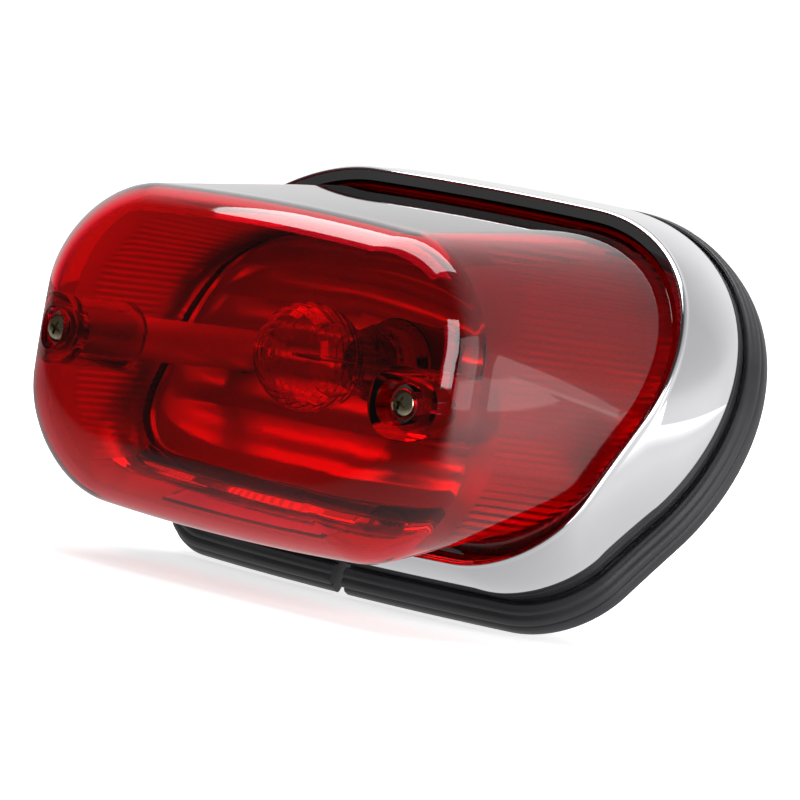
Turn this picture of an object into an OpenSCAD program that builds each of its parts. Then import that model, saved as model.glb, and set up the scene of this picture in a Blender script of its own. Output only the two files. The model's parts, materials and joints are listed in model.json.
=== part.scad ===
// Motorcycle tail light: red box lens, chrome bezel and rubber fender gasket.
// +X is the viewer's right when facing the lens, +Y runs from the lens towards the fender, +Z is up.
// The origin is the centre of the lens's front face, at the height of its two screws.

/* [Lens] */
// Width of the front face across its straight sides
face_w = 124; // [118:1:130]
// Height of the front face at its corners
face_h = 70.3; // [66:0.5:74]
// Corner radius of the front face
face_r = 23.6; // [20:0.2:26]
// Radius of the large fillet round the front face
fillet_r = 15.9; // [13:0.1:17]
// Wall thickness of the lens
lens_wall = 2.5; // [2:0.1:3]
// Depth from the front face to the rim surface, at screw height
lens_depth = 52.8; // [50:0.2:58]
// Spacing of the two lens screws
screw_spacing = 105; // [101:0.5:107]
// Number of segments in each corner of the lofted outlines
corner_steps = 8; // [6:1:12]
// Number of segments in each side of the lofted outlines
side_steps = 5; // [4:1:9]

/* [Fender side] */
// Lean of the fender surface away from the lens face, in degrees
fender_lean = 30.96; // [28:0.5:33]
// Crosswise radius of the fender
fender_r = 363; // [330:1:420]
// Depth from the front face to the bezel's back edge, at screw height
bezel_depth = 80.5; // [80:0.1:83]
// Half width of the bezel's back edge, at the top before its corners are rounded
bezel_top_w = 104.8; // [100:0.1:106]
// Half width of the bezel's back edge, at the bottom before its corners are rounded
bezel_bottom_w = 60.2; // [59:0.1:63]
// Half height of the bezel's back edge, measured along the fender
bezel_half_h = 50.4; // [50:0.1:54]
// Thickness of the rubber gasket between the bezel and the fender
gasket_t = 5; // [4.5:0.1:6]
// Thickness of the fender sheet the light is bolted through
fender_sheet_t = 2; // [1:0.1:2.5]

/* [Bulb and socket] */
// Height of the bulb's axis above the screw line
bulb_z = 4; // [2:0.5:6]
// Diameter of the bulb's glass
bulb_d = 25; // [22:0.5:26]
// Travel of the bulb when it is pushed in
bulb_push = 2; // [1:0.1:2.2]
// Angle of the bulb's twist, in degrees
bulb_twist = 18; // [10:1:20]

/* [Hidden] */
$fn = 48;

lean_c = cos(fender_lean);
lean_s = sin(fender_lean);
// Crosswise radius of the gently bowed rim surface
rim_r = 833;

// An outline is [top half width, bottom half width, half height, top radius, bottom radius,
// top bulge, bottom bulge, side bulge, centre height].
face_o = [face_w / 2, face_w / 2, face_h / 2, face_r, face_r, 2.95, 2.95, 1.8, -0.25];
base_o = [81.6, 68, 40.6, 40, 23, 0.6, 3.5, -1.5, 10.4];
rim_o = [84.6, 71, 46.4, 43.5, 25, 0.6, 3.5, -1.5, 9.2];
edge_o = [bezel_top_w, bezel_bottom_w, bezel_half_h, 53, 21, 0, 4, -2.4, 5.2];

// Bayonet parts along Y
shell_front = 53;
shell_back = 82;
shell_r = 8.6;
base_r = 7.4;
bulb_tip = 19;
base_front = 51;
base_back = 70.6;
disc_front = 71.4;
disc_t = 2.2;
flange_y = 61;
pin_y = 59;
pin_r = 1;
// Half the angle a bayonet pin takes up at the shell's bore, with clearance
pin_angle = asin((pin_r + 0.15) / base_r);

// Screws
head_r = 3.3;
head_y = 2.6;
head_t = 2.1;
washer_t = 0.8;
seat_y = head_y + head_t + washer_t;
counterbore_r = 4.7;
boss_r = 8.1;
boss_back = 26;
boss_seat_t = 2.4;
pillar_front = seat_y + boss_seat_t + 0.1;
shank_r = 1.95;
thread_bore_r = 2;
screw_end = 21;

// Base plate and studs, measured along the fender's normal from the rim surface
plate_w = 21.5;
plate_t = 2;
edge_w = (bezel_depth - lens_depth) * lean_c;
stud_r = 3;
stud_end = edge_w + gasket_t + 18.2;
// Where a nut ends, measured from the fender's near face, and the relief groove behind it
nut_end = fender_sheet_t + 8.3;
relief_t = 1.2;
// Stud positions across and along the base plate
stud_at = [[-36, 20], [36, 20], [0, -14]];
// How far the bezel's back edge sits up the fender from the rim's middle
edge_shift = (bezel_depth - lens_depth) * lean_s;

// Outlines

function unit(p) = p / norm(p);

function corner(p, v, q, r) =
    let (d1 = unit(p - v), d2 = unit(q - v), a = acos(d1 * d2))
    let (c = v + unit(d1 + d2) * r / sin(a / 2), s = v + d1 * r / tan(a / 2))
    let (e = v + d2 * r / tan(a / 2), a0 = atan2(s.y - c.y, s.x - c.x))
    let (raw = atan2(e.y - c.y, e.x - c.x), a1 = raw < a0 ? raw + 360 : raw)
    [for (i = [0:corner_steps]) c + r * [for (f = [0, 90]) cos(a0 + (a1 - a0) * i / corner_steps - f)]];

function side(p, q) = [for (i = [1:side_steps]) p + (q - p) * i / (side_steps + 1)];

// Bows the sides of an outline outwards, most at the middle of each side
function bulged(p, o) =
    let (wide = o[1] + (o[0] - o[1]) * (p.y + o[2]) / (2 * o[2]), f = max(-1, min(1, p.x / wide)))
    let (b = p.y > 0 ? o[5] : o[6])
    [p.x + o[7] * f * (1 - pow(p.y / o[2], 2)), p.y + b * p.y / o[2] * (1 - f * f) + o[8]];

function outline(o) =
    let (v = [[o[0], o[2]], [-o[0], o[2]], [-o[1], -o[2]], [o[1], -o[2]]], r = [o[3], o[3], o[4], o[4]])
    let (arcs = [for (i = [0:3]) corner(v[(i + 3) % 4], v[i], v[(i + 1) % 4], r[i])])
    let (parts = [for (i = [0:3]) concat(arcs[i], side(arcs[i][corner_steps], arcs[(i + 1) % 4][0]))])
    [for (part = parts) for (p = part) bulged(p, o)];

// Widens an outline by a at the sides and by b at the top and bottom
function grown(o, a, b) =
    [o[0] + a, o[1] + a, o[2] + b, o[3] + (a + b) / 2, o[4] + (a + b) / 2, o[5], o[6], o[7], o[8]];

// Widens an outline as grown() does, then lets it down the leaning surface
function lowered(o, a, b, drop) =
    let (g = grown(o, a, b)) [for (i = [0:8]) i == 8 ? g[i] - drop : g[i]];

function mixed(o, q, f) = [for (i = [0:8]) o[i] * (1 - f) + q[i] * f];

// Places an outline on a leaning surface bowed crosswise, then slides it dy along Y
function leaning(o, depth, bow_r, w = 0, dy = 0) =
    [for (p = outline(o)) let (n = w + p.x * p.x / (2 * bow_r))
        [p.x, depth + dy + p.y * lean_s + n * lean_c, p.y * lean_c - n * lean_s]];

function on_rim(o, dy) = leaning(o, lens_depth, rim_r, 0, dy);
function on_fender(o, w) = leaning(o, bezel_depth, fender_r, w, 0);

function flat_ring(o, y, inset) =
    [for (p = outline(o)) [p.x * (1 - inset / o[0]), y, p.y * (1 - inset / o[2])]];

function centre(ring) = [for (k = [0:2]) [for (p = ring) p[k]] * [for (p = ring) 1] / len(ring)];

// Skins a stack of rings; a closed stack is a loop of rings, an open one gets a fan at each end
module skin(rings, closed) {
    n = len(rings[0]);
    m = len(rings);
    last = closed ? m - 1 : m - 2;
    ends = closed ? [] : [centre(rings[0]), centre(rings[m - 1])];
    points = concat([for (ring = rings) for (p = ring) p], ends);
    sides = [for (j = [0:last]) for (i = [0:n - 1])
        let (a = j * n + i, b = j * n + (i + 1) % n)
        let (c = ((j + 1) % m) * n + (i + 1) % n, d = ((j + 1) % m) * n + i)
        for (t = [[a, b, c], [a, c, d]]) t];
    front = closed ? [] : [for (i = [0:n - 1]) [(i + 1) % n, i, m * n]];
    back = closed ? [] : [for (i = [0:n - 1]) [(m - 1) * n + i, (m - 1) * n + (i + 1) % n, m * n + 1]];
    polyhedron(points, concat(sides, front, back), convexity = 8);
}

// Solid of revolution helpers
module along_y(x, z, from, to, r) {
    translate([x, from, z])
        rotate([-90, 0, 0])
            cylinder(h = to - from, r = r);
}

module tube_y(x, z, from, to, outer, inner) {
    difference() {
        along_y(x, z, from, to, outer);
        along_y(x, z, from - 1, to + 1, inner);
    }
}

// Turns local Z onto the fender's normal, with local Y up the fender, at a depth w below the rim
module on_plate(u, v, w) {
    translate([0, lens_depth, 0])
        rotate([-90 - fender_lean, 0, 0])
            translate([u, -v, w])
                children();
}

// Lens

lens_front = [for (t = [90, 67.5, 45, 22.5, 0])
    flat_ring(face_o, fillet_r * (1 - sin(t)), fillet_r * (1 - cos(t)))];
inner_r = fillet_r - lens_wall;
lens_inside = [for (t = [0, 22.5, 45, 67.5, 90])
    flat_ring(face_o, lens_wall + inner_r * (1 - sin(t)), lens_wall + inner_r * (1 - cos(t)))];
// The flange stands out most at the bottom, and the bezel's opening just clears it
flange_o = lowered(base_o, 1.3, 3.2, 2.3);
opening_o = lowered(base_o, 1.6, 3.5, 2.3);
flange_y0 = 2.2;
flange_y1 = 5.2;

module lens_shell() {
    outer = concat(lens_front, [on_rim(base_o, 0), on_rim(lowered(base_o, 0.2, 0.4, 0.25), 1.5),
        on_rim(lowered(base_o, 0.6, 1.2, 0.75), 2.1), on_rim(flange_o, flange_y0)]);
    inner = concat([on_rim(flange_o, flange_y1), on_rim(grown(base_o, -lens_wall, -lens_wall), flange_y1)],
        lens_inside);
    skin(concat(outer, inner), false);
}

// The space inside the lens's outer skin
module lens_solid() {
    skin(concat(lens_front, [on_rim(base_o, 0)]), false);
}

module window_block(gap) {
    translate([-25 - gap, 19 - gap, -45])
        cube([50 + 2 * gap, 9 + 2 * gap, 20]);
}

module lens() {
    color("firebrick")
        difference() {
            union() {
                lens_shell();
                intersection() {
                    lens_solid();
                    for (x = [-1, 1] * screw_spacing / 2)
                        along_y(x, 0, -1, boss_back, boss_r);
                }
            }
            for (x = [-1, 1] * screw_spacing / 2) {
                along_y(x, 0, -1, seat_y, counterbore_r);
                along_y(x, 0, 0, boss_back + 1, 2.2);
                along_y(x, 0, seat_y + boss_seat_t, boss_back + 1, boss_r - 2);
            }
            window_block(0.1);
        }
}

module plate_window() {
    color("white")
        intersection() {
            lens_shell();
            window_block(0);
        }
}

module lens_seal() {
    inner_o = grown(base_o, -1.8, -1.8);
    outer_o = grown(flange_o, -0.3, -0.3);
    seal_y = flange_y1 + 0.05;
    color("black")
        skin([on_rim(inner_o, seal_y), on_rim(outer_o, seal_y),
            on_rim(outer_o, 7.9), on_rim(inner_o, 7.9)], true);
}

// Lens screws

module screw_washer(x) {
    color("silver")
        tube_y(x, 0, head_y + head_t, seat_y - 0.02, 4.3, 2.1);
}

module lens_screw(x) {
    color("khaki")
        difference() {
            union() {
                translate([x, head_y + head_t - 0.02, 0])
                    rotate([90, 0, 0])
                        rotate_extrude()
                            polygon(concat([[0, 0], [head_r, 0], [head_r, head_t * 0.45]],
                                [for (a = [15:15:90]) [head_r * cos(a), head_t * (0.45 + 0.55 * sin(a))]]));
                along_y(x, 0, head_y + head_t - 0.5, screw_end - 1, shank_r);
                translate([x, screw_end - 1, 0])
                    rotate([-90, 0, 0])
                        cylinder(h = 1, r1 = shank_r, r2 = shank_r - 0.8);
            }
            for (a = [0, 90])
                translate([x, head_y, 0])
                    rotate([0, a, 0])
                        cube([4, 2.8, 0.9], center = true);
        }
}

module washer_left() { screw_washer(-screw_spacing / 2); }
module washer_right() { screw_washer(screw_spacing / 2); }
module lens_screw_left() { lens_screw(-screw_spacing / 2); }
module lens_screw_right() { lens_screw(screw_spacing / 2); }

// Chrome bezel

skirt_steps = 6;
skirt_swell = 1.6;
// The skirt swells outwards from the rim and then runs down to its back edge
function skirt_o(f, inset) =
    let (swell = skirt_swell * sin(180 * f) - inset)
    grown(mixed(rim_o, edge_o, f), swell, swell);
function skirt_depth(f) = lens_depth + (bezel_depth - lens_depth) * pow(f, 1.15);
function skirt_bow(f) = 1 / ((1 - f) / rim_r + f / fender_r);
function skirt_ring(f, inset, dy) = leaning(skirt_o(f, inset), skirt_depth(f), skirt_bow(f), 0, dy);

module chrome_bezel() {
    outside = [for (i = [0:skirt_steps]) skirt_ring(i / skirt_steps, 0, 0)];
    inside = [for (i = [0:skirt_steps - 2]) skirt_ring(1 - i / skirt_steps, 1.6, i == 0 ? 0 : 0.6)];
    crest_o = mixed(opening_o, rim_o, 0.75);
    lip = [on_rim(opening_o, 1.9), on_rim(opening_o, 0.9), on_rim(crest_o, -0.4),
        on_rim(mixed(crest_o, rim_o, 0.5), -1.2), on_rim(mixed(crest_o, rim_o, 0.95), -0.9)];
    ledge = [on_rim(grown(base_o, -2.5, -2.5), 9.6), on_rim(grown(base_o, -2.5, -2.5), 8),
        on_rim(opening_o, 8)];
    color("lightgray")
        skin(concat(lip, outside, inside, ledge), true);
}

// Reflector

module reflector() {
    bowl = [[-4, 9.9], [-8, 13.5], [-13, 17.4], [-20, 19.4]];
    front = [for (b = bowl) on_rim(grown(base_o, b[0], b[0]), b[1])];
    back = [for (i = [3:-1:0]) let (a = bowl[i][0] - 1) on_rim(grown(base_o, a, a), bowl[i][1] + 1.2)];
    rim = [on_rim(grown(base_o, -1, -1), 11.1), on_rim(grown(base_o, -1, -1), 9.9)];
    color("gainsboro")
        difference() {
            skin(concat([for (i = [3:-1:0]) front[i]], [rim[1], rim[0]],
                [for (i = [3:-1:0]) back[i]]), false);
            along_y(0, bulb_z, 40, 110, 12);
            for (x = [-1, 1] * screw_spacing / 2)
                along_y(x, 0, 40, 110, 5.3);
        }
}

// Base plate and what stands on it

module behind_plate(w) {
    on_plate(-100, 100, w)
        cube([200, 200, 60]);
}

module screw_pillars() {
    color("silver")
        for (x = [-1, 1] * screw_spacing / 2)
            difference() {
                along_y(x, 0, pillar_front, 95, 5);
                along_y(x, 0, pillar_front - 1, screw_end + 3, thread_bore_r);
                behind_plate(plate_w);
            }
}

module base_plate() {
    plate_o = grown(edge_o, -6, -6);
    color("dimgray")
        difference() {
            on_plate(0, edge_shift, plate_w)
                linear_extrude(plate_t)
                    polygon([for (p = outline(plate_o)) [p.x, -p.y]]);
            along_y(0, bulb_z, 60, 110, 10);
            for (p = stud_at)
                on_plate(p.x, p.y, plate_w - 1)
                    cylinder(h = plate_t + 2, r = stud_r + 0.2);
        }
}

module socket_holder() {
    color("dimgray")
        difference() {
            tube_y(0, bulb_z, flange_y + 0.05, 95, 11.5, shell_r + 0.15);
            behind_plate(plate_w);
        }
}

module mounting_studs() {
    color("silver")
        for (p = stud_at)
            on_plate(p.x, p.y, plate_w) {
                translate([0, 0, -1.5])
                    cylinder(h = 1.5, r = 5);
                translate([0, 0, -0.5])
                    cylinder(h = fender_w(p.x) + nut_end + 0.2 - plate_w + 0.5, r = stud_r);
                cylinder(h = stud_end - plate_w, r = stud_r - 0.5);
                translate([0, 0, fender_w(p.x) + nut_end + relief_t - plate_w])
                    cylinder(h = stud_end - fender_w(p.x) - nut_end - relief_t, r = stud_r);
            }
}

// Depth of the fender's near face below the rim, at a distance u from the middle
function fender_w(u) = edge_w + gasket_t + u * u / (2 * fender_r);

module stacked(u, v, from, to, outer, inner) {
    on_plate(u, v, from)
        difference() {
            cylinder(h = to - from, r = outer);
            translate([0, 0, -1])
                cylinder(h = to - from + 2, r = inner);
        }
}

module stud_collars() {
    color("silver")
        for (p = stud_at)
            stacked(p.x, p.y, plate_w + plate_t + 0.02, fender_w(p.x), 5.5, stud_r + 0.2);
}

module flat_washers() {
    color("silver")
        for (p = stud_at)
            let (w = fender_w(p.x) + fender_sheet_t)
                stacked(p.x, p.y, w, w + 1.6, 6, 3.2);
}

module lock_washers() {
    color("gray")
        for (p = stud_at)
            let (w = fender_w(p.x) + fender_sheet_t)
                difference() {
                    stacked(p.x, p.y, w + 1.65, w + 3.25, 5.4, 3.1);
                    on_plate(p.x, p.y, w)
                        rotate([0, 0, 40])
                            translate([0, -0.5, 0])
                                cube([8, 1, 6]);
                }
}

module mounting_nuts() {
    color("silver")
        for (p = stud_at)
            on_plate(p.x, p.y, fender_w(p.x) + fender_sheet_t + 3.3)
                difference() {
                    cylinder(h = 5, r = 5.77, $fn = 6);
                    translate([0, 0, -1])
                        cylinder(h = 7, r = stud_r + 0.05);
                }
}

// Socket and bulb

module socket_shell() {
    color("silver")
        difference() {
            union() {
                along_y(0, bulb_z, shell_front, shell_back, shell_r);
                along_y(0, bulb_z, flange_y - 1.2, flange_y, 11);
            }
            along_y(0, bulb_z, shell_front - 1, shell_back - 1, base_r + 0.3);
            along_y(0, bulb_z, shell_back - 2, shell_back + 1, 5.4);
            // bayonet windows, long enough for the push and wide enough for the twist
            for (a = [0, 180])
                translate([0, pin_y - pin_r - 0.2, bulb_z])
                    rotate([-90, 0, 0])
                        rotate([0, 0, a - bulb_twist - pin_angle])
                            rotate_extrude(angle = bulb_twist + 2 * pin_angle)
                                translate([base_r - 0.5, 0])
                                    square([4, bulb_push + 2 * pin_r + 0.4]);
        }
}

module contact_plate() {
    color("saddlebrown")
        difference() {
            along_y(0, bulb_z, disc_front, disc_front + disc_t, base_r + 0.2);
            for (x = [-3, 3])
                along_y(x, bulb_z, disc_front - 1, disc_front + disc_t + 1, 1.35);
        }
}

module contact_plungers() {
    color("gold")
        for (x = [-3, 3])
            along_y(x, bulb_z, base_back + 0.55, disc_front + disc_t + 2, 1.3);
}

module socket_spring() {
    turns = 3.5;
    steps = 12;
    start = disc_front + disc_t + 0.5;
    length = shell_back - 1 - start - 0.5;
    rings = [for (i = [0:turns * steps]) let (a = 360 * i / steps, y = start + length * i / (turns * steps))
        [for (k = [0:7]) let (r = 6.3 + 0.45 * cos(45 * k))
            [r * cos(a), y + 0.45 * sin(45 * k), bulb_z + r * sin(a)]]];
    color("silver")
        skin(rings, false);
}

// A glass envelope from a depth y forward: a neck and a ball of radius r about the same centre
module bulb_envelope(y, neck, r) {
    ball = bulb_tip + bulb_d / 2;
    translate([0, y, bulb_z])
        rotate([90, 0, 0])
            rotate_extrude()
                polygon(concat([[0, 0], [neck, 0], [neck + 0.4, 4]],
                    [for (a = [-45:9:90]) [r * cos(a), y - ball + r * sin(a)]]));
}

module bulb_glass() {
    color("lightcyan", 0.4)
        difference() {
            bulb_envelope(base_front + 0.01, 7, bulb_d / 2);
            bulb_envelope(base_front + 1, 6.2, bulb_d / 2 - 0.8);
        }
}

module bulb_base() {
    color("goldenrod") {
        difference() {
            union() {
                along_y(0, bulb_z, base_front + 0.05, base_back - 1, base_r);
                for (a = [0, 180])
                    translate([0, pin_y, bulb_z])
                        rotate([0, a, 0])
                            rotate([0, 90, 0])
                                cylinder(h = 8.4, r = pin_r);
            }
            along_y(0, bulb_z, base_front - 1, base_back - 4, base_r - 0.6);
        }
        along_y(0, bulb_z, base_back - 1.2, base_back, base_r - 0.8);
    }
}

module bulb_contacts() {
    color("lightgray")
        for (x = [-3, 3])
            along_y(x, bulb_z, base_back + 0.02, base_back + 0.5, 1.6);
}

module bulb_filaments() {
    color("gray")
        for (k = [0, 1])
            let (y = bulb_tip + 12 + 5 * k) {
                for (x = [-1, 1] * (4 + k))
                    along_y(x, bulb_z, y, base_back - 4.1, 0.3);
                translate([-4 - k, y, bulb_z])
                    rotate([0, 90, 0])
                        cylinder(h = 8 + 2 * k, r = 0.45);
            }
}

// Gasket

// How far the gasket is let down the fender for each millimetre that it stands out
gasket_drop = 0.5;

module fender_gasket() {
    profile = [[0.6, -0.6], [1.35, -0.95], [2.2, -0.45], [3.2, 0.4], [3.45, 1.5], [3.05, 1.9], [3.6, 2.4],
        [3.6, gasket_t], [-8, gasket_t], [-8, 0.15], [0.5, 0.15]];
    color("black")
        difference() {
            skin([for (p = profile)
                on_fender(lowered(edge_o, p[0], p[0], gasket_drop * p[0]), p[1])], true);
            translate([-1.75, 40, -70])
                cube([3.5, 60, 45]);
        }
}

// Wiring

wire_r = 0.95;
wire_at = [[-1.6, 1], [1.6, 1], [0, -1.6]];
wire_start = shell_back - 4.2;
bend_y = shell_back - 1.5;
wire_length = 70;
// Depth below the rim at which the wires turn onto the fender's normal
wire_w = (bend_y - lens_depth) * lean_c - bulb_z * lean_s;

// A cylinder along the fender's normal, from the bend in the wires; lift is its offset across them
module along_wire(x, lift, from, to, r) {
    translate([x, bend_y + lift * tan(fender_lean / 2), bulb_z + lift])
        rotate([-90 - fender_lean, 0, 0])
            translate([0, 0, from])
                cylinder(h = to - from, r = r);
}

module wire_path(x, lift, r) {
    bend = bend_y + lift * tan(fender_lean / 2);
    along_y(x, bulb_z + lift, wire_start, bend, r);
    translate([x, bend, bulb_z + lift])
        sphere(r = r + 0.06);
    along_wire(x, lift, 0, wire_length, r);
}

module wires() {
    color("darkgreen")
        for (p = wire_at)
            wire_path(p[0], p[1], wire_r);
}

grommet_front = fender_w(0) - 0.85 - wire_w;
sleeve_front = grommet_front + 0.2;

module wire_sleeve() {
    color("black")
        difference() {
            along_wire(0, 0, sleeve_front, sleeve_front + 44, 4.2);
            along_wire(0, 0, sleeve_front - 1, sleeve_front + 45, 3.4);
        }
}

module wire_grommet() {
    color("black")
        difference() {
            along_wire(0, 0, grommet_front, grommet_front + 6, 8);
            along_wire(0, 0, grommet_front - 1, grommet_front + 7, 4.3);
            difference() {
                along_wire(0, 0, grommet_front + 0.85, grommet_front + 0.85 + fender_sheet_t, 9);
                along_wire(0, 0, grommet_front, grommet_front + 6, 6);
            }
        }
}

module wire_terminals() {
    color("silver")
        for (p = wire_at)
            along_wire(p[0], p[1], wire_length + 0.05, wire_length + 12, 1.2);
}

lens();
plate_window();
lens_seal();
washer_left();
washer_right();
lens_screw_left();
lens_screw_right();
chrome_bezel();
reflector();
screw_pillars();
base_plate();
socket_holder();
socket_shell();
contact_plate();
contact_plungers();
socket_spring();
bulb_glass();
bulb_base();
bulb_contacts();
bulb_filaments();
fender_gasket();
mounting_studs();
stud_collars();
flat_washers();
lock_washers();
mounting_nuts();
wires();
wire_sleeve();
wire_grommet();
wire_terminals();
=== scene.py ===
"""Looks of a motorcycle tail light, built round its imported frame.

+X is the viewer's right when facing the lens, +Y runs from the lens to the fender, +Z is up.
Shapes are worked out in millimetres, in the frame's own axes, and turned into metres by mesh_from().
"""
import json
import math

import bmesh
import bpy
import numpy as np
from mathutils import Matrix, Vector


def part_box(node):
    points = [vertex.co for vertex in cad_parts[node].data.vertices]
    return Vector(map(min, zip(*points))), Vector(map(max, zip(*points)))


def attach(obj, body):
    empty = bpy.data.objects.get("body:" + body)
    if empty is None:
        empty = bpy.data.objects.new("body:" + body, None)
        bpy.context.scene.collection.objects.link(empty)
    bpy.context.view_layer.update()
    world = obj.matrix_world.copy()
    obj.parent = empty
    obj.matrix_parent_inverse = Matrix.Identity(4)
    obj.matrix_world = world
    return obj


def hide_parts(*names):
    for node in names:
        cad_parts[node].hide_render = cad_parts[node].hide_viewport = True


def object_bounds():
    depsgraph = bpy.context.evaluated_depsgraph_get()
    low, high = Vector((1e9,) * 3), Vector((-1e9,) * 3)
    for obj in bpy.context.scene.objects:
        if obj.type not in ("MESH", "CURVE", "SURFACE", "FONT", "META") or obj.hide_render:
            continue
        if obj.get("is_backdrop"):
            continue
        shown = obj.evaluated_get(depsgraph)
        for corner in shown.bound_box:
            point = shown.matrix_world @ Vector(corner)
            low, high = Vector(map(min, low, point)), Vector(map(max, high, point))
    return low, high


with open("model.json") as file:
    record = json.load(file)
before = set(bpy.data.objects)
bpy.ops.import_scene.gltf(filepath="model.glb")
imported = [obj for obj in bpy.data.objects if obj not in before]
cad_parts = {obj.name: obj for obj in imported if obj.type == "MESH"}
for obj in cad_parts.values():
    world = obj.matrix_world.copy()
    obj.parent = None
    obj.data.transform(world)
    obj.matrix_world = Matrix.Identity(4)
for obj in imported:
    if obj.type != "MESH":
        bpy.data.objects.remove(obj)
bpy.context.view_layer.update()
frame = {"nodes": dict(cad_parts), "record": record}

MM = 0.001
SCREW_X = 52.5

# ---------------------------------------------------------------- driving sizes, in millimetres
FACE_W, FACE_H, FACE_R = 124.0, 70.3, 23.6
FILLET_R = 15.9
WALL = 2.5
LENS_DEPTH = 52.8
LEAN = math.radians(30.96)
BEZEL_DEPTH = 80.5
RIM_BOW_R = 833.0
FENDER_R = 363.0
GASKET_T = 5.0
GASKET_DROP = 0.5
RIB_PITCH = 1.6
FLUTE_PITCH = 10.0
BULB_Z = 4.0
LEAN_C, LEAN_S = math.cos(LEAN), math.sin(LEAN)

# An outline: half widths at top and bottom, half height, corner radii at top and bottom,
# how far the top, bottom and sides bow out, and the height of its middle.
FACE = (FACE_W / 2, FACE_W / 2, FACE_H / 2, FACE_R, FACE_R, 2.95, 2.95, 1.8, -0.25)
BASE = (81.6, 68.0, 40.6, 40.0, 23.0, 0.6, 3.5, -1.5, 10.4)
RIM = (84.6, 71.0, 46.4, 43.5, 25.0, 0.6, 3.5, -1.5, 9.2)
EDGE = (104.8, 60.2, 50.4, 53.0, 21.0, 0.0, 4.0, -2.4, 5.2)


# ---------------------------------------------------------------- outlines and rings
def corner_arc(before, at, after, radius, steps):
    """Points on the arc of a radius that rounds the corner `at`."""
    d1 = (before - at) / np.linalg.norm(before - at)
    d2 = (after - at) / np.linalg.norm(after - at)
    half = math.acos(float(np.clip(d1 @ d2, -1, 1))) / 2
    middle = at + (d1 + d2) / np.linalg.norm(d1 + d2) * radius / math.sin(half)
    start = at + d1 * radius / math.tan(half) - middle
    end = at + d2 * radius / math.tan(half) - middle
    a0 = math.atan2(start[1], start[0])
    a1 = math.atan2(end[1], end[0])
    if a1 < a0:
        a1 += 2 * math.pi
    turn = np.linspace(a0, a1, steps)
    return middle + radius * np.column_stack([np.cos(turn), np.sin(turn)])


def outline(shape, arc_steps, flat_steps, side_steps):
    """A rounded trapezium with bowed sides, anticlockwise from its top right corner."""
    top, bottom, half_h, r_top, r_bottom, bow_top, bow_bottom, bow_side, middle = shape
    corners = np.array([[top, half_h], [-top, half_h], [-bottom, -half_h], [bottom, -half_h]])
    radii = (r_top, r_top, r_bottom, r_bottom)
    arcs = [
        corner_arc(corners[i - 1], corners[i], corners[(i + 1) % 4], radii[i], arc_steps)
        for i in range(4)]
    parts = []
    for i, steps in enumerate((flat_steps, side_steps, flat_steps, side_steps)):
        parts.append(arcs[i])
        start, end = arcs[i][-1], arcs[(i + 1) % 4][0]
        share = np.linspace(0, 1, steps + 2)[1:-1, None]
        parts.append(start + (end - start) * share)
    points = np.vstack(parts)
    x, y = points[:, 0], points[:, 1]
    wide = bottom + (top - bottom) * (y + half_h) / (2 * half_h)
    across = np.clip(x / wide, -1, 1)
    up = y / half_h
    bow = np.where(y > 0, bow_top, bow_bottom)
    return np.column_stack([x + bow_side * across * (1 - up**2), y + bow * up * (1 - across**2) + middle])


def grown(shape, a, b):
    """Widens an outline by a at its sides and by b at its top and bottom."""
    r = (a + b) / 2
    return (shape[0] + a, shape[1] + a, shape[2] + b, shape[3] + r, shape[4] + r) + tuple(shape[5:])


def lowered(shape, a, b, drop):
    """Widens an outline as grown() does, and lets it down the leaning surface."""
    shape = grown(shape, a, b)
    return shape[:-1] + (shape[-1] - drop,)


# The lens's walls end at its foot. Its flange stands out most at the bottom, and the bezel's
# opening just clears it.
FOOT = lowered(BASE, -0.2, -0.5, 0.5)
FLANGE = lowered(BASE, 1.3, 3.2, 2.3)
OPENING = lowered(BASE, 1.6, 3.5, 2.3)


def mixed(one, other, share):
    return tuple(p * (1 - share) + q * share for p, q in zip(one, other))


def leaning(points, depth, bow_r, w=0.0, dy=0.0):
    """Lays a flat outline on the leaning surface, bowed across to a radius."""
    x, v = points[:, 0], points[:, 1]
    n = w + x * x / (2 * bow_r)
    return np.column_stack([x, depth + dy + v * LEAN_S + n * LEAN_C, v * LEAN_C - n * LEAN_S])


def face_ring(points, depth, inset):
    """The face outline, drawn in by an inset, at a depth behind the front face."""
    return np.column_stack([
        points[:, 0] * (1 - inset / FACE[0]),
        np.full(len(points), depth),
        points[:, 1] * (1 - inset / FACE[2]),
    ])


# ---------------------------------------------------------------- meshes
def mesh_object(name, verts, faces, angle=35.0):
    """A smooth-shaded object from vertices in millimetres; edges sharper than angle stay sharp."""
    mesh = bpy.data.meshes.new(name)
    mesh.from_pydata([tuple(v) for v in np.asarray(verts) * MM], [], faces)
    mesh.update()
    fix = bmesh.new()
    fix.from_mesh(mesh)
    bmesh.ops.recalc_face_normals(fix, faces=fix.faces)
    fix.to_mesh(mesh)
    fix.free()
    obj = bpy.data.objects.new(name, mesh)
    bpy.context.scene.collection.objects.link(obj)
    smooth(obj, angle)
    return obj


def smooth(obj, angle):
    obj.data.polygons.foreach_set("use_smooth", [True] * len(obj.data.polygons))
    obj.data.set_sharp_from_angle(angle=math.radians(angle))


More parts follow.
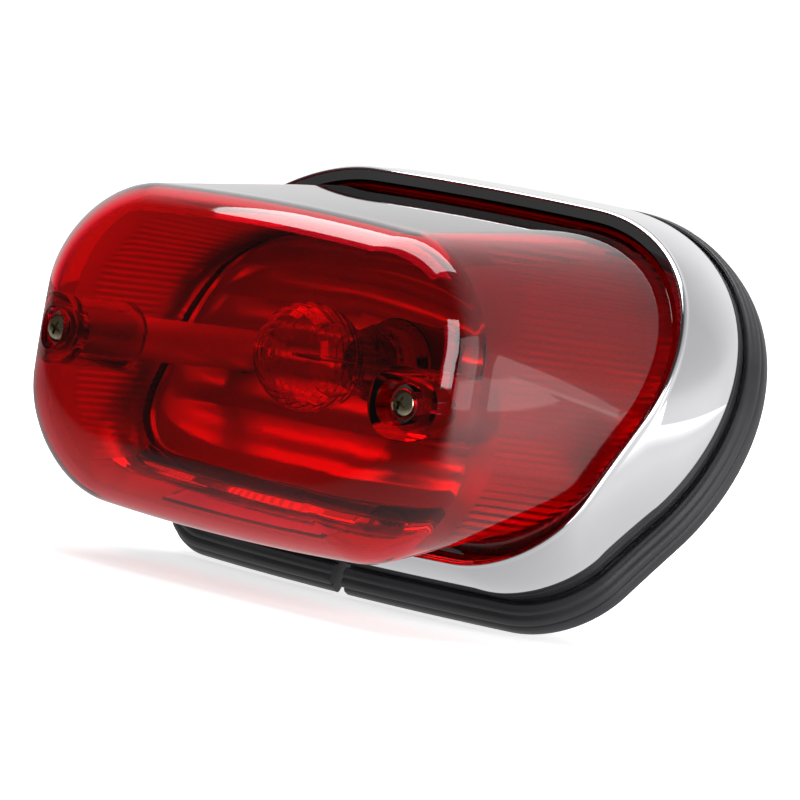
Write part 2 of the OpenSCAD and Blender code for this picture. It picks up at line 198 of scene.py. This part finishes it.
def skin(name, rings, closed, angle=35.0):
    """Skins a stack of rings: a closed stack is a loop, an open one gets a fan at each end."""
    rings = np.asarray(rings)
    count, size = rings.shape[:2]
    verts = rings.reshape(-1, 3)
    i = np.arange(size)
    after = (i + 1) % size
    faces = []
    for j in range(count if closed else count - 1):
        a, b = j * size, ((j + 1) % count) * size
        faces += np.column_stack([a + i, a + after, b + after, b + i]).tolist()
    if not closed:
        verts = np.vstack([verts, rings[0].mean(0), rings[-1].mean(0)])
        base = (count - 1) * size
        faces += [(int(n), int(m), count * size) for m, n in zip(i, after)]
        faces += [(int(base + m), int(base + n), count * size + 1) for m, n in zip(i, after)]
    return mesh_object(name, verts, faces, angle)


def lathe(name, profile, x, z, steps=96, angle=35.0):
    """Turns a profile of (radius, depth) pairs about a line along Y; radius 0 closes an end."""
    turn = np.linspace(0, 2 * math.pi, steps, endpoint=False)
    rings = [
        np.column_stack([x + r * np.cos(turn), np.full(steps, y), z + r * np.sin(turn)])
        for r, y in profile]
    return skin(name, rings, False, angle)


def block(name, low, high):
    """A cutting block between two corners, in millimetres."""
    verts = [(x, y, z) for x in (low[0], high[0]) for y in (low[1], high[1]) for z in (low[2], high[2])]
    faces = [(0, 1, 3, 2), (4, 6, 7, 5), (0, 4, 5, 1), (2, 3, 7, 6), (0, 2, 6, 4), (1, 5, 7, 3)]
    return mesh_object(name, verts, faces)


def carve(obj, tool, operation):
    """Applies one boolean to obj and deletes the tool."""
    modifier = obj.modifiers.new("carve", "BOOLEAN")
    modifier.operation = operation
    modifier.solver = "MANIFOLD"
    modifier.object = tool
    bpy.context.view_layer.update()
    graph = bpy.context.evaluated_depsgraph_get()
    carved = bpy.data.meshes.new_from_object(obj.evaluated_get(graph))
    obj.modifiers.clear()
    obj.data = carved
    bpy.data.objects.remove(tool)


def duplicate(obj, name):
    copy = bpy.data.objects.new(name, obj.data.copy())
    bpy.context.scene.collection.objects.link(copy)
    return copy


# ---------------------------------------------------------------- materials
class Wiring:
    """A short way to wire the nodes of a material or of the world."""

    def __init__(self, tree, out_kind):
        self.tree = tree
        self.tree.nodes.clear()
        self.out = self.tree.nodes.new(out_kind)

    def add(self, kind, settings=None, **inputs):
        node = self.tree.nodes.new(kind)
        for key, value in (settings or {}).items():
            setattr(node, key, value)
        for key, value in inputs.items():
            self.feed(node.inputs[key.replace("_", " ")], value)
        return node

    def feed(self, socket, value):
        if isinstance(value, bpy.types.NodeSocket):
            self.tree.links.new(value, socket)
        else:
            socket.default_value = value

    def math(self, operation, first, second):
        node = self.add("ShaderNodeMath", {"operation": operation})
        self.feed(node.inputs[0], first)
        self.feed(node.inputs[1], second)
        return node.outputs[0]

    def between(self, value, low, high, from_low=0.3, from_high=0.7, kind="LINEAR"):
        node = self.add("ShaderNodeMapRange", {"interpolation_type": kind}, Value=value)
        ends = (("From Min", from_low), ("From Max", from_high), ("To Min", low), ("To Max", high))
        for key, number in ends:
            self.feed(node.inputs[key], number)
        return node.outputs["Result"]

    def ramp(self, value, *stops):
        """A smooth grey ramp through (place, brightness) stops."""
        node = self.add("ShaderNodeFloatCurve", Value=value)
        curve = node.mapping.curves[0]
        for place, height in stops[1:-1]:
            curve.points.new(place, height)
        for point, (place, height) in zip((curve.points[0], curve.points[-1]), (stops[0], stops[-1])):
            point.location = (place, height)
        node.mapping.update()
        return node.outputs["Value"]

    def blend(self, share, one, other):
        """one where share is 0, other where it is 1."""
        return self.between(share, one, other, 0, 1)

    def mix_shader(self, share, one, other):
        node = self.add("ShaderNodeMixShader")
        self.feed(node.inputs[0], share)
        self.feed(node.inputs[1], one)
        self.feed(node.inputs[2], other)
        return node.outputs[0]


class Nodes(Wiring):
    """The wiring of one material."""

    def __init__(self, name):
        self.material = bpy.data.materials.new(name)
        self.material.use_nodes = True
        super().__init__(self.material.node_tree, "ShaderNodeOutputMaterial")

    def coords(self):
        return self.add("ShaderNodeTexCoord").outputs["Object"]

    def noise(self, scale, detail=4.0, stretch=(1, 1, 1), roughness=0.5):
        place = self.add("ShaderNodeMapping", Vector=self.coords(), Scale=stretch)
        return self.add("ShaderNodeTexNoise", Vector=place.outputs["Vector"], Scale=scale, Detail=detail,
                        Roughness=roughness).outputs["Fac"]

    def tint(self, value, dark, light):
        ramp = self.add("ShaderNodeValToRGB", Fac=value)
        ramp.color_ramp.elements[0].color = (*dark, 1)
        ramp.color_ramp.elements[1].color = (*light, 1)
        ramp.color_ramp.elements[0].position = 0.3
        ramp.color_ramp.elements[1].position = 0.7
        return ramp.outputs["Color"]

    def bump(self, value, strength, distance):
        bump = self.add("ShaderNodeBump", Height=value, Strength=strength, Distance=distance)
        return bump.outputs["Normal"]

    def surface(self, **inputs):
        shader = self.add("ShaderNodeBsdfPrincipled", **inputs)
        self.tree.links.new(shader.outputs["BSDF"], self.out.inputs["Surface"])
        return self.material


def red_lens():
    """Clear red moulded plastic: polished outside, frosted where the ribs run inside."""
    n = Nodes("red_lens")
    haze = n.noise(38, 6)
    marks = n.noise(900, 2, (1, 0.15, 1))
    frost = n.add("ShaderNodeAttribute", {"attribute_name": "frost"}).outputs["Fac"]
    return n.surface(
        Base_Color=(0.78, 0.002, 0.016, 1), Roughness=n.blend(frost, n.between(marks, 0.012, 0.035), 0.42),
        Specular_IOR_Level=1.0, Transmission_Weight=1.0, IOR=1.49, Normal=n.bump(haze, 0.02, 0.0006))


def clear_window():
    n = Nodes("clear_window")
    marks = n.noise(700, 3)
    return n.surface(
        Base_Color=(0.93, 0.95, 0.96, 1), Roughness=n.between(marks, 0.03, 0.09),
        Transmission_Weight=1.0, IOR=1.49, Normal=n.bump(marks, 0.03, 0.0003))


def chrome():
    """Bright plate with a faint orange peel and a few cloudy patches."""
    n = Nodes("chrome")
    peel = n.noise(160, 3)
    cloud = n.noise(22, 4)
    return n.surface(
        Base_Color=n.tint(cloud, (0.58, 0.58, 0.6), (0.66, 0.66, 0.68)), Metallic=1.0,
        Roughness=n.between(cloud, 0.02, 0.05), Normal=n.bump(peel, 0.012, 0.0004))


def metallised():
    """The vacuum-plated inside of the reflector."""
    n = Nodes("metallised")
    cloud = n.noise(60, 4)
    return n.surface(
        Base_Color=n.tint(cloud, (0.86, 0.86, 0.87), (0.94, 0.94, 0.94)), Metallic=0.55,
        Roughness=n.between(cloud, 0.3, 0.4), Normal=n.bump(n.noise(420, 3), 0.03, 0.0004))


def rubber():
    """Satin moulded rubber with a fine grain and a grey bloom."""
    n = Nodes("rubber")
    grain = n.noise(1400, 5)
    bloom = n.noise(45, 5)
    return n.surface(
        Base_Color=n.tint(bloom, (0.011, 0.011, 0.013), (0.026, 0.026, 0.03)),
        Roughness=n.between(bloom, 0.38, 0.55), Normal=n.bump(grain, 0.18, 0.0002))


def foam():
    n = Nodes("foam")
    cells = n.add("ShaderNodeTexVoronoi", Vector=n.coords(), Scale=1500).outputs["Distance"]
    return n.surface(
        Base_Color=n.tint(cells, (0.02, 0.02, 0.02), (0.07, 0.07, 0.07)), Roughness=0.95,
        Normal=n.bump(cells, 0.6, 0.0004))


def plated(name, dark, light, rough):
    """Plated steel: drawn streaks and a mottled passivated colour."""
    n = Nodes(name)
    mottle = n.noise(420, 5)
    streak = n.noise(900, 3, (1, 0.08, 1))
    return n.surface(
        Base_Color=n.tint(mottle, dark, light), Metallic=1.0,
        Roughness=n.between(streak, rough, rough + 0.16),
        Normal=n.bump(streak, 0.12, 0.0002))


def black_coat():
    """Electrocoated sheet: low sheen over a fine texture."""
    n = Nodes("black_coat")
    fine = n.noise(1100, 4)
    wear = n.noise(90, 6)
    return n.surface(
        Base_Color=n.tint(wear, (0.012, 0.012, 0.013), (0.035, 0.035, 0.037)),
        Roughness=n.between(wear, 0.32, 0.5), Normal=n.bump(fine, 0.1, 0.0002), Coat_Weight=0.25)


def moulded(name, dark, light, rough):
    n = Nodes(name)
    grain = n.noise(1300, 4)
    return n.surface(
        Base_Color=n.tint(n.noise(240, 4), dark, light), Roughness=n.between(grain, rough, rough + 0.12),
        Normal=n.bump(grain, 0.12, 0.0002))


def phenolic():
    """Pressed board with layered fibres."""
    n = Nodes("phenolic")
    fibre = n.noise(700, 5, (1, 9, 1))
    return n.surface(
        Base_Color=n.tint(fibre, (0.13, 0.05, 0.02), (0.26, 0.12, 0.05)),
        Roughness=n.between(fibre, 0.45, 0.65),
        Normal=n.bump(fibre, 0.15, 0.0002))


def bulb_glass():
    n = Nodes("bulb_glass")
    ripple = n.noise(60, 2)
    return n.surface(
        Base_Color=(0.97, 0.985, 1, 1), Roughness=0.0, Transmission_Weight=1.0, IOR=1.5,
        Normal=n.bump(ripple, 0.03, 0.0005))


ZINC = ((0.5, 0.5, 0.49), (0.72, 0.72, 0.7))
MATERIALS = {
    "lens_red": red_lens(),
    "window_clear": clear_window(),
    "seal_foam": foam(),
    "rubber_black": rubber(),
    "chrome": chrome(),
    "reflector_chrome": metallised(),
    "plated_steel": plated("plated_steel", *ZINC, 0.24),
    "nickel_screw": plated("nickel_screw", (0.5, 0.42, 0.25), (0.8, 0.72, 0.52), 0.14),
    "plate_black": black_coat(),
    "insulator_brown": phenolic(),
    "brass": plated("brass", (0.55, 0.34, 0.1), (0.85, 0.62, 0.26), 0.2),
    "bulb_glass": bulb_glass(),
    "solder": plated("solder", (0.45, 0.45, 0.46), (0.68, 0.68, 0.7), 0.3),
    "tungsten": plated("tungsten", (0.16, 0.16, 0.16), (0.32, 0.31, 0.3), 0.35),
    "wire_sheath": moulded("wire_sheath", (0.01, 0.035, 0.015), (0.03, 0.07, 0.03), 0.35),
    "sleeve_black": moulded("sleeve_black", (0.008, 0.008, 0.008), (0.02, 0.02, 0.02), 0.42),
}
NODE_SLOT = {part["node"]: part["material_slot"] for part in frame["record"]["subparts"]}


def finish_piece(obj, node, body, replaced=True):
    """Gives a piece the material of its node's slot and lets it ride, standing for a CAD node."""
    obj.data.materials.clear()
    obj.data.materials.append(MATERIALS[NODE_SLOT[node]])
    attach(obj, body)
    if replaced:
        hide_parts(node)


for node_name, node_object in frame["nodes"].items():
    for slot in node_object.material_slots:
        slot.material = MATERIALS[NODE_SLOT[node_name]]

# ---------------------------------------------------------------- lens
LENS_STEPS = (150, 40, 70)


def lens_ring(shape, **place):
    return leaning(outline(shape, *LENS_STEPS), LENS_DEPTH, RIM_BOW_R, **place)


def side_share(points):
    """1 on the left and right walls, 0 on the top and bottom ones."""
    ahead = np.roll(points, -1, axis=0) - np.roll(points, 1, axis=0)
    length = np.hypot(ahead[:, 0], ahead[:, 2])
    across = np.abs(ahead[:, 2]) / np.maximum(length, 1e-9)
    return np.clip((across - 0.25) / 0.3, 0, 1)


def ribbed(points, strength):
    """Presses fine level ribs into the side walls of an inner ring."""
    phase = points[:, 2] / RIB_PITCH
    wave = np.abs(phase - np.floor(phase) - 0.5) * 2
    depth = 0.3 * strength * side_share(points) * wave
    out = points.copy()
    out[:, 0] -= np.sign(points[:, 0]) * depth
    return out


def lens_outer_rings(wall_steps, foot_y):
    """Rings of the outer skin from the middle of the face to the foot of the walls."""
    face = outline(FACE, *LENS_STEPS)
    rings = [face_ring(face, FILLET_R * (1 - math.sin(t)), FILLET_R * (1 - math.cos(t)))
             for t in np.radians(np.linspace(90, 0, 15))]
    front, foot = rings[-1], lens_ring(FOOT, dy=foot_y)
    rings += [front + (foot - front) * share for share in np.linspace(0, 1, wall_steps + 1)[1:]]
    return rings


def build_lens_shell():
    foot_y, flange_front, flange_back = -2.0, 2.2, 5.2
    rings = lens_outer_rings(14, foot_y)
    for t in np.radians(np.linspace(0, 90, 14)[1:]):
        shape = mixed(FOOT, FLANGE, 1 - math.cos(t))
        rings.append(lens_ring(shape, dy=foot_y + (flange_front - foot_y) * math.sin(t)))
    rings.append(lens_ring(FLANGE, dy=flange_back))
    face = outline(FACE, *LENS_STEPS)
    inner_r = FILLET_R - WALL
    back = lens_ring(lowered(BASE, -WALL, -WALL - 0.9, 0.9), dy=flange_back)
    front = face_ring(face, FILLET_R, WALL)
    rib_from = 0.2
    shares = np.linspace(0, 1, 44)
    rings += [ribbed(back + (front - back) * s, np.clip((1 - rib_from - s) / 0.03, 0, 1)) for s in shares]
    rings += [face_ring(face, WALL + inner_r * (1 - math.sin(t)), WALL + inner_r * (1 - math.cos(t)))
              for t in np.radians(np.linspace(0, 90, 15)[1:])]
    return skin("lens_body", rings, False, 40)


def frost_inside(obj):
    """Marks the inner faces of the side walls, where the ribs are, for the material."""
    mesh = obj.data
    mark = mesh.attributes.new("frost", "FLOAT", "FACE")
    rib_front = (FILLET_R + 1) * MM
    mark.data.foreach_set("value", [
        float(f.normal.x * f.center.x < 0 and abs(f.normal.x) > 0.3 and f.center.y > rib_front
              and abs(f.center.x) > 0.05) for f in mesh.polygons])


def build_lens():
    lens = build_lens_shell()
    solid = skin("lens_space", lens_outer_rings(1, 0), False)
    for x in (-SCREW_X, SCREW_X):
        boss = lathe("boss", [(8.1, -1), (8.1, 26)], x, 0)
        carve(boss, duplicate(solid, "lens_space_copy"), "INTERSECT")
        carve(lens, boss, "UNION")
    bpy.data.objects.remove(solid)
    for x in (-SCREW_X, SCREW_X):
        carve(lens, lathe("counterbore", [(5.1, -1), (4.7, 3.2), (4.7, 5.5)], x, 0), "DIFFERENCE")
        carve(lens, lathe("screw_hole", [(2.2, 0), (2.2, 30)], x, 0, 48), "DIFFERENCE")
        carve(lens, lathe("boss_hollow", [(6.1, 7.9), (6.1, 30)], x, 0), "DIFFERENCE")
    shell = duplicate(lens, "plate_window_body")
    carve(lens, block("window_gap", (-25.1, 18.9, -45.1), (25.1, 28.1, -24.9)), "DIFFERENCE")
    carve(shell, block("window_block", (-25, 19, -45), (25, 28, -25)), "INTERSECT")
    smooth(lens, 40)
    smooth(shell, 40)
    frost_inside(lens)
    finish_piece(lens, "lens", "lens_unit")
    finish_piece(shell, "plate_window", "lens_unit")


# ---------------------------------------------------------------- lens screws
def build_screw(node, body, x):
    head_r, top, height = 3.3, 2.6, 2.1
    dome = [
        (head_r * math.cos(a), top + height * 0.55 * (1 - math.sin(a)))
        for a in np.radians(np.linspace(90, 0, 10))]
    dome[0] = (0.02, top)
    profile = dome + [(head_r, top + height), (1.95, top + height)]
    thread_start, thread_end, pitch = top + height + 4, 20.0, 0.7
    for k in range(int((thread_end - thread_start) / pitch)):
        y = thread_start + k * pitch
        profile += [(1.95, y), (1.62, y + pitch / 2)]
    profile += [(1.6, 20.3), (0.9, 21)]
    screw = lathe(node + "_body", profile, x, 0, 64)
    for turn in (0, 90):
        arm = block("recess", (-2.1, top - 1, -0.42), (2.1, top + 1.35, 0.42))
        for v in arm.data.vertices:
            if v.co.y > top * MM:
                v.co.x *= 0.55
                v.co.z *= 0.7
        arm.data.transform(Matrix.Rotation(math.radians(turn + 20), 4, "Y"))
        arm.data.transform(Matrix.Translation((x * MM, 0, 0)))
        carve(screw, arm, "DIFFERENCE")
    smooth(screw, 30)
    finish_piece(screw, node, body)


# ---------------------------------------------------------------- bezel
TRIM_STEPS = (44, 26, 30)


def trim_ring(shape, depth, bow_r, w=0.0, dy=0.0):
    return leaning(outline(shape, *TRIM_STEPS), depth, bow_r, w, dy)


def skirt_shape(share, inset):
    swell = 1.6 * math.sin(math.pi * share) - inset
    return grown(mixed(RIM, EDGE, share), swell, swell)


def skirt_ring(share, inset, dy=0.0):
    depth = LENS_DEPTH + (BEZEL_DEPTH - LENS_DEPTH) * share**1.15
    bow_r = 1 / ((1 - share) / RIM_BOW_R + share / FENDER_R)
    return trim_ring(skirt_shape(share, inset), depth, bow_r, 0, dy)


def rim_ring(shape, dy):
    return trim_ring(shape, LENS_DEPTH, RIM_BOW_R, 0, dy)


def build_bezel():
    lip_in = mixed(OPENING, RIM, 0.75)
    crest = [rim_ring(mixed(OPENING, lip_in, share), 0.9 - 1.3 * share) for share in (0, 0.33, 0.66)]
    for t in np.linspace(0, math.pi, 11):
        share = (1 - math.cos(t)) / 2
        dy = -0.4 - 0.9 * math.sin(t) + 0.4 * share
        crest.append(rim_ring(mixed(lip_in, grown(RIM, 0.4, 0.4), share), dy))
    skirt = [skirt_ring(s, 0) for s in np.linspace(0.03, 1, 30)]
    inside = [skirt_ring(s, 1.5, 0.0 if s == 1 else 0.6) for s in np.linspace(1, 0.3, 12)]
    ledge_shape = grown(BASE, -2.5, -2.5)
    ledge = [rim_ring(ledge_shape, 9.6), rim_ring(ledge_shape, 8.0), rim_ring(OPENING, 8.0)]
    bezel = skin("chrome_bezel_body", [rim_ring(OPENING, 1.9)] + crest + skirt + inside + ledge, True, 50)
    finish_piece(bezel, "chrome_bezel", "housing")


# ---------------------------------------------------------------- reflector
def bowl_depth(x, v):
    """How far behind the lens's rim the plated face of the reflector lies."""
    reach = ((np.abs(x) / 72) ** 4 + (np.abs(v) / 36) ** 4) ** 0.25
    bowl = 9.9 + 8.3 * np.clip(1.06 - np.clip(reach, 0, 1) ** 3.2, 0, 1)
    flutes = 3.6 * (0.5 - np.abs(np.cos(np.pi * v / FLUTE_PITCH))) * np.clip(1.25 - reach**5 * 1.4, 0, 1)
    return np.maximum(bowl + flutes, 9.9)


def build_reflector():
    """A plated bowl crossed by shallow level flutes, cut to the shape of the opening."""
    across = np.linspace(-82, 82, 220)
    rows = np.linspace(-48, 48, 193)
    front = []
    for v in rows:
        flat = np.column_stack([across, np.full(len(across), v)])
        place = leaning(flat, LENS_DEPTH, RIM_BOW_R)
        place[:, 1] += bowl_depth(across, v - BASE[-1])
        front.append(place)
    front = np.array(front)
    back = front + np.array([0, 1.2, 0])
    rings = np.concatenate([front, back[:, ::-1]], axis=1)
    sheet = skin("reflector_body", rings, False)
    shape = grown(BASE, -1, -1)
    keep = skin("reflector_outline", [rim_ring(shape, 5), rim_ring(shape, 60)], False)
    carve(sheet, keep, "INTERSECT")
    carve(sheet, lathe("socket_hole", [(12, 30), (12, 120)], 0, BULB_Z), "DIFFERENCE")
    for x in (-SCREW_X, SCREW_X):
        carve(sheet, lathe("pillar_hole", [(5.3, 30), (5.3, 120)], x, 0), "DIFFERENCE")
    smooth(sheet, 40)
    finish_piece(sheet, "reflector", "housing")


# ---------------------------------------------------------------- gasket
def build_gasket():
    t = GASKET_T
    profile = [
        (0.5, -0.2), (0.6, -0.6), (0.9, -0.85), (1.35, -0.95),
        (1.8, -0.8), (2.2, -0.45), (2.3, -0.1), (2.75, 0.05),
        (3.2, 0.4), (3.45, 1.0), (3.45, 1.5), (3.1, 1.75), (3.05, 2.0), (3.45, 2.2), (3.65, 2.8), (3.6, 4.2),
        (3.45, t - 0.2), (3.1, t), (-7.6, t), (-8, t - 0.4), (-8, 0.5), (-7.7, 0.15), (0.5, 0.15)]
    rings = [trim_ring(lowered(EDGE, a, a, GASKET_DROP * a), BEZEL_DEPTH, FENDER_R, w) for a, w in profile]
    gasket = skin("fender_gasket_body", rings, True, 50)
    carve(gasket, block("drain_slot", (-1.75, 40, -70), (1.75, 100, -25)), "DIFFERENCE")
    smooth(gasket, 50)
    finish_piece(gasket, "fender_gasket", "housing")


def build_seal():
    inner = grown(BASE, -1.8, -1.8)
    outer = grown(FLANGE, -0.3, -0.3)
    profile = [(0, 5.25), (0.4, 5.22), (1, 5.25), (1.03, 6.5), (1, 7.9), (0, 7.9), (-0.03, 6.5)]
    rings = [rim_ring(mixed(inner, outer, share), dy) for share, dy in profile]
    seal = skin("lens_seal_body", rings, True, 50)
    finish_piece(seal, "lens_seal", "lens_unit")


def build_spring():
    """The socket spring, as a round wire wound along the socket."""
    low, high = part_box("socket_spring")
    wire_r = 0.45
    start, end = low.y / MM + wire_r, high.y / MM - wire_r
    middle_z = (low.z + high.z) / 2 / MM
    radius = (high.x - low.x) / 2 / MM - wire_r
    turns, per_turn, around = 3.5, 48, 12
    rings = []
    for i in range(int(turns * per_turn) + 1):
        a = 2 * math.pi * i / per_turn
        y = start + (end - start) * i / (turns * per_turn)
        b = np.linspace(0, 2 * math.pi, around, endpoint=False)
        r = radius + wire_r * np.cos(b)
        rings.append(np.column_stack([r * math.cos(a), y + wire_r * np.sin(b), middle_z + r * math.sin(a)]))
    spring = skin("socket_spring_body", rings, False, 60)
    finish_piece(spring, "socket_spring", "housing")


build_lens()
build_screw("lens_screw_left", "screw_l", -SCREW_X)
build_screw("lens_screw_right", "screw_r", SCREW_X)
build_bezel()
build_reflector()
build_gasket()
build_seal()
build_spring()


# ---------------------------------------------------------------- stage
def stage():
    """A pale floor that glows, dimmer near the object, which paints shade round it; what the chrome and the
    lens see of it is a glow that darkens towards the camera.
    """
    floor_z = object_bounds()[0][2] - 0.0005
    bpy.ops.mesh.primitive_plane_add(size=12, location=(0, 0, floor_z))
    floor = bpy.context.object
    floor.name = "floor"
    n = Nodes("pale_floor")
    spot = n.add("ShaderNodeSeparateXYZ", Vector=n.coords())
    away = n.add("ShaderNodeVectorMath", {"operation": "LENGTH"}, Vector=n.coords()).outputs["Value"]
    # The floor's glow is weaker near the object, a painted shade round it, and stronger farther out, where
    # it reads pure white.
    seen = n.add("ShaderNodeBsdfPrincipled", Roughness=0.9,
                 Base_Color=n.tint(n.noise(6, 3), (0.8,) * 3, (0.83,) * 3),
                 Emission_Color=(1, 1, 1, 1), Emission_Strength=n.between(away, 0.6, 1.1, 0.15, 0.6))
    # Only reflections see this glow: brighter to the right and darker towards the camera.
    side = n.math("ADD", n.between(spot.outputs["X"], 0.4, 1.15, -0.25, 0.2),
                  n.between(spot.outputs["X"], 0, 1, 0.3, 0.7))
    near = n.blend(n.between(spot.outputs["Y"], 0, 1, -0.06, 0.08), 0.28, side)
    glow = n.blend(n.between(spot.outputs["Y"], 0, 1, -0.13, -0.07), 0.06, near)
    mirrored = n.add("ShaderNodeEmission", Strength=glow)
    camera_ray = n.add("ShaderNodeLightPath").outputs["Is Camera Ray"]
    shader = n.mix_shader(camera_ray, mirrored.outputs[0], seen.outputs[0])
    n.tree.links.new(shader, n.out.inputs["Surface"])
    floor.data.materials.append(n.material)
    floor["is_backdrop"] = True


def sky():
    """A white studio: bright cloth behind the object, dark room overhead and behind the camera."""
    world = bpy.data.worlds.new("studio")
    bpy.context.scene.world = world
    world.use_nodes = True
    n = Wiring(world.node_tree, "ShaderNodeOutputWorld")
    way = n.add("ShaderNodeSeparateXYZ", Vector=n.add("ShaderNodeTexCoord").outputs["Generated"])
    height = n.between(way.outputs["Z"], 0, 1, -1, 1)
    right = n.ramp(height, (0, 0.5), (0.5, 0.72), (0.55, 0.7), (0.65, 0.5), (0.85, 0.42), (1, 0.06))
    left = n.ramp(height, (0, 0.2), (0.5, 0.55), (0.72, 0.68), (0.85, 0.5), (1, 0.06))
    backdrop = n.blend(n.between(way.outputs["X"], 0, 1, -0.3, 0.3), left, right)
    light = n.blend(n.between(way.outputs["Y"], 0, 1, -0.15, 0.35, "SMOOTHSTEP"), 0.035, backdrop)
    lit = n.add("ShaderNodeBackground", Strength=n.math("MULTIPLY", light, 2.0))
    plain = n.add("ShaderNodeBackground", Color=(1, 1, 1, 1), Strength=1.05)
    camera_ray = n.add("ShaderNodeLightPath").outputs["Is Camera Ray"]
    shader = n.mix_shader(camera_ray, lit.outputs[0], plain.outputs[0])
    n.tree.links.new(shader, n.out.inputs["Surface"])


def softbox(name, place, target, size, brightness):
    """An even rectangular light, its brightness given relative to white."""
    data = bpy.data.lights.new(name, "AREA")
    data.shape = "RECTANGLE"
    data.size, data.size_y = size
    data.energy = brightness * math.pi * size[0] * size[1]
    light = bpy.data.objects.new(name, data)
    bpy.context.scene.collection.objects.link(light)
    light.location = place
    light.rotation_euler = (Vector(target) - Vector(place)).to_track_quat("-Z", "Y").to_euler()


def camera():
    """A long lens from the front right, with the camera rolled as a hand would hold it."""
    azimuth, elevation, roll = (math.radians(a) for a in (40.32, 2.9, 9.93))
    back = Vector((math.sin(azimuth) * math.cos(elevation), -math.cos(azimuth) * math.cos(elevation),
                   math.sin(elevation)))
    right = Vector((math.cos(azimuth), math.sin(azimuth), 0))
    up = back.cross(right)
    side = right * math.cos(roll) + up * math.sin(roll)
    top = up * math.cos(roll) - right * math.sin(roll)
    distance, slide, rise = 1.25985, 0.04096, -0.00807
    data = bpy.data.cameras.new("camera")
    data.sensor_width = 36
    data.lens = 256.4
    data.clip_end = 50
    cam = bpy.data.objects.new("camera", data)
    bpy.context.scene.collection.objects.link(cam)
    basis = Matrix((side, top, back)).transposed().to_4x4()
    basis.translation = back * distance + side * slide + top * rise
    cam.matrix_world = basis
    bpy.context.scene.camera = cam


stage()
sky()
softbox("overhead", (-0.36, 0.2, 1.0), (-0.36, 0.2, 0), (1.15, 0.6), 6.0)
softbox("right_strip", (0.95, -0.3, 0.36), (0.06, 0.01, 0.02), (0.34, 0.8), 7)
softbox("side_card", (1.1, 0.24, 0.2), (0, 0.05, 0.02), (0.7, 0.62), 1.5)
camera()
bpy.context.scene.view_settings.view_transform = "Standard"
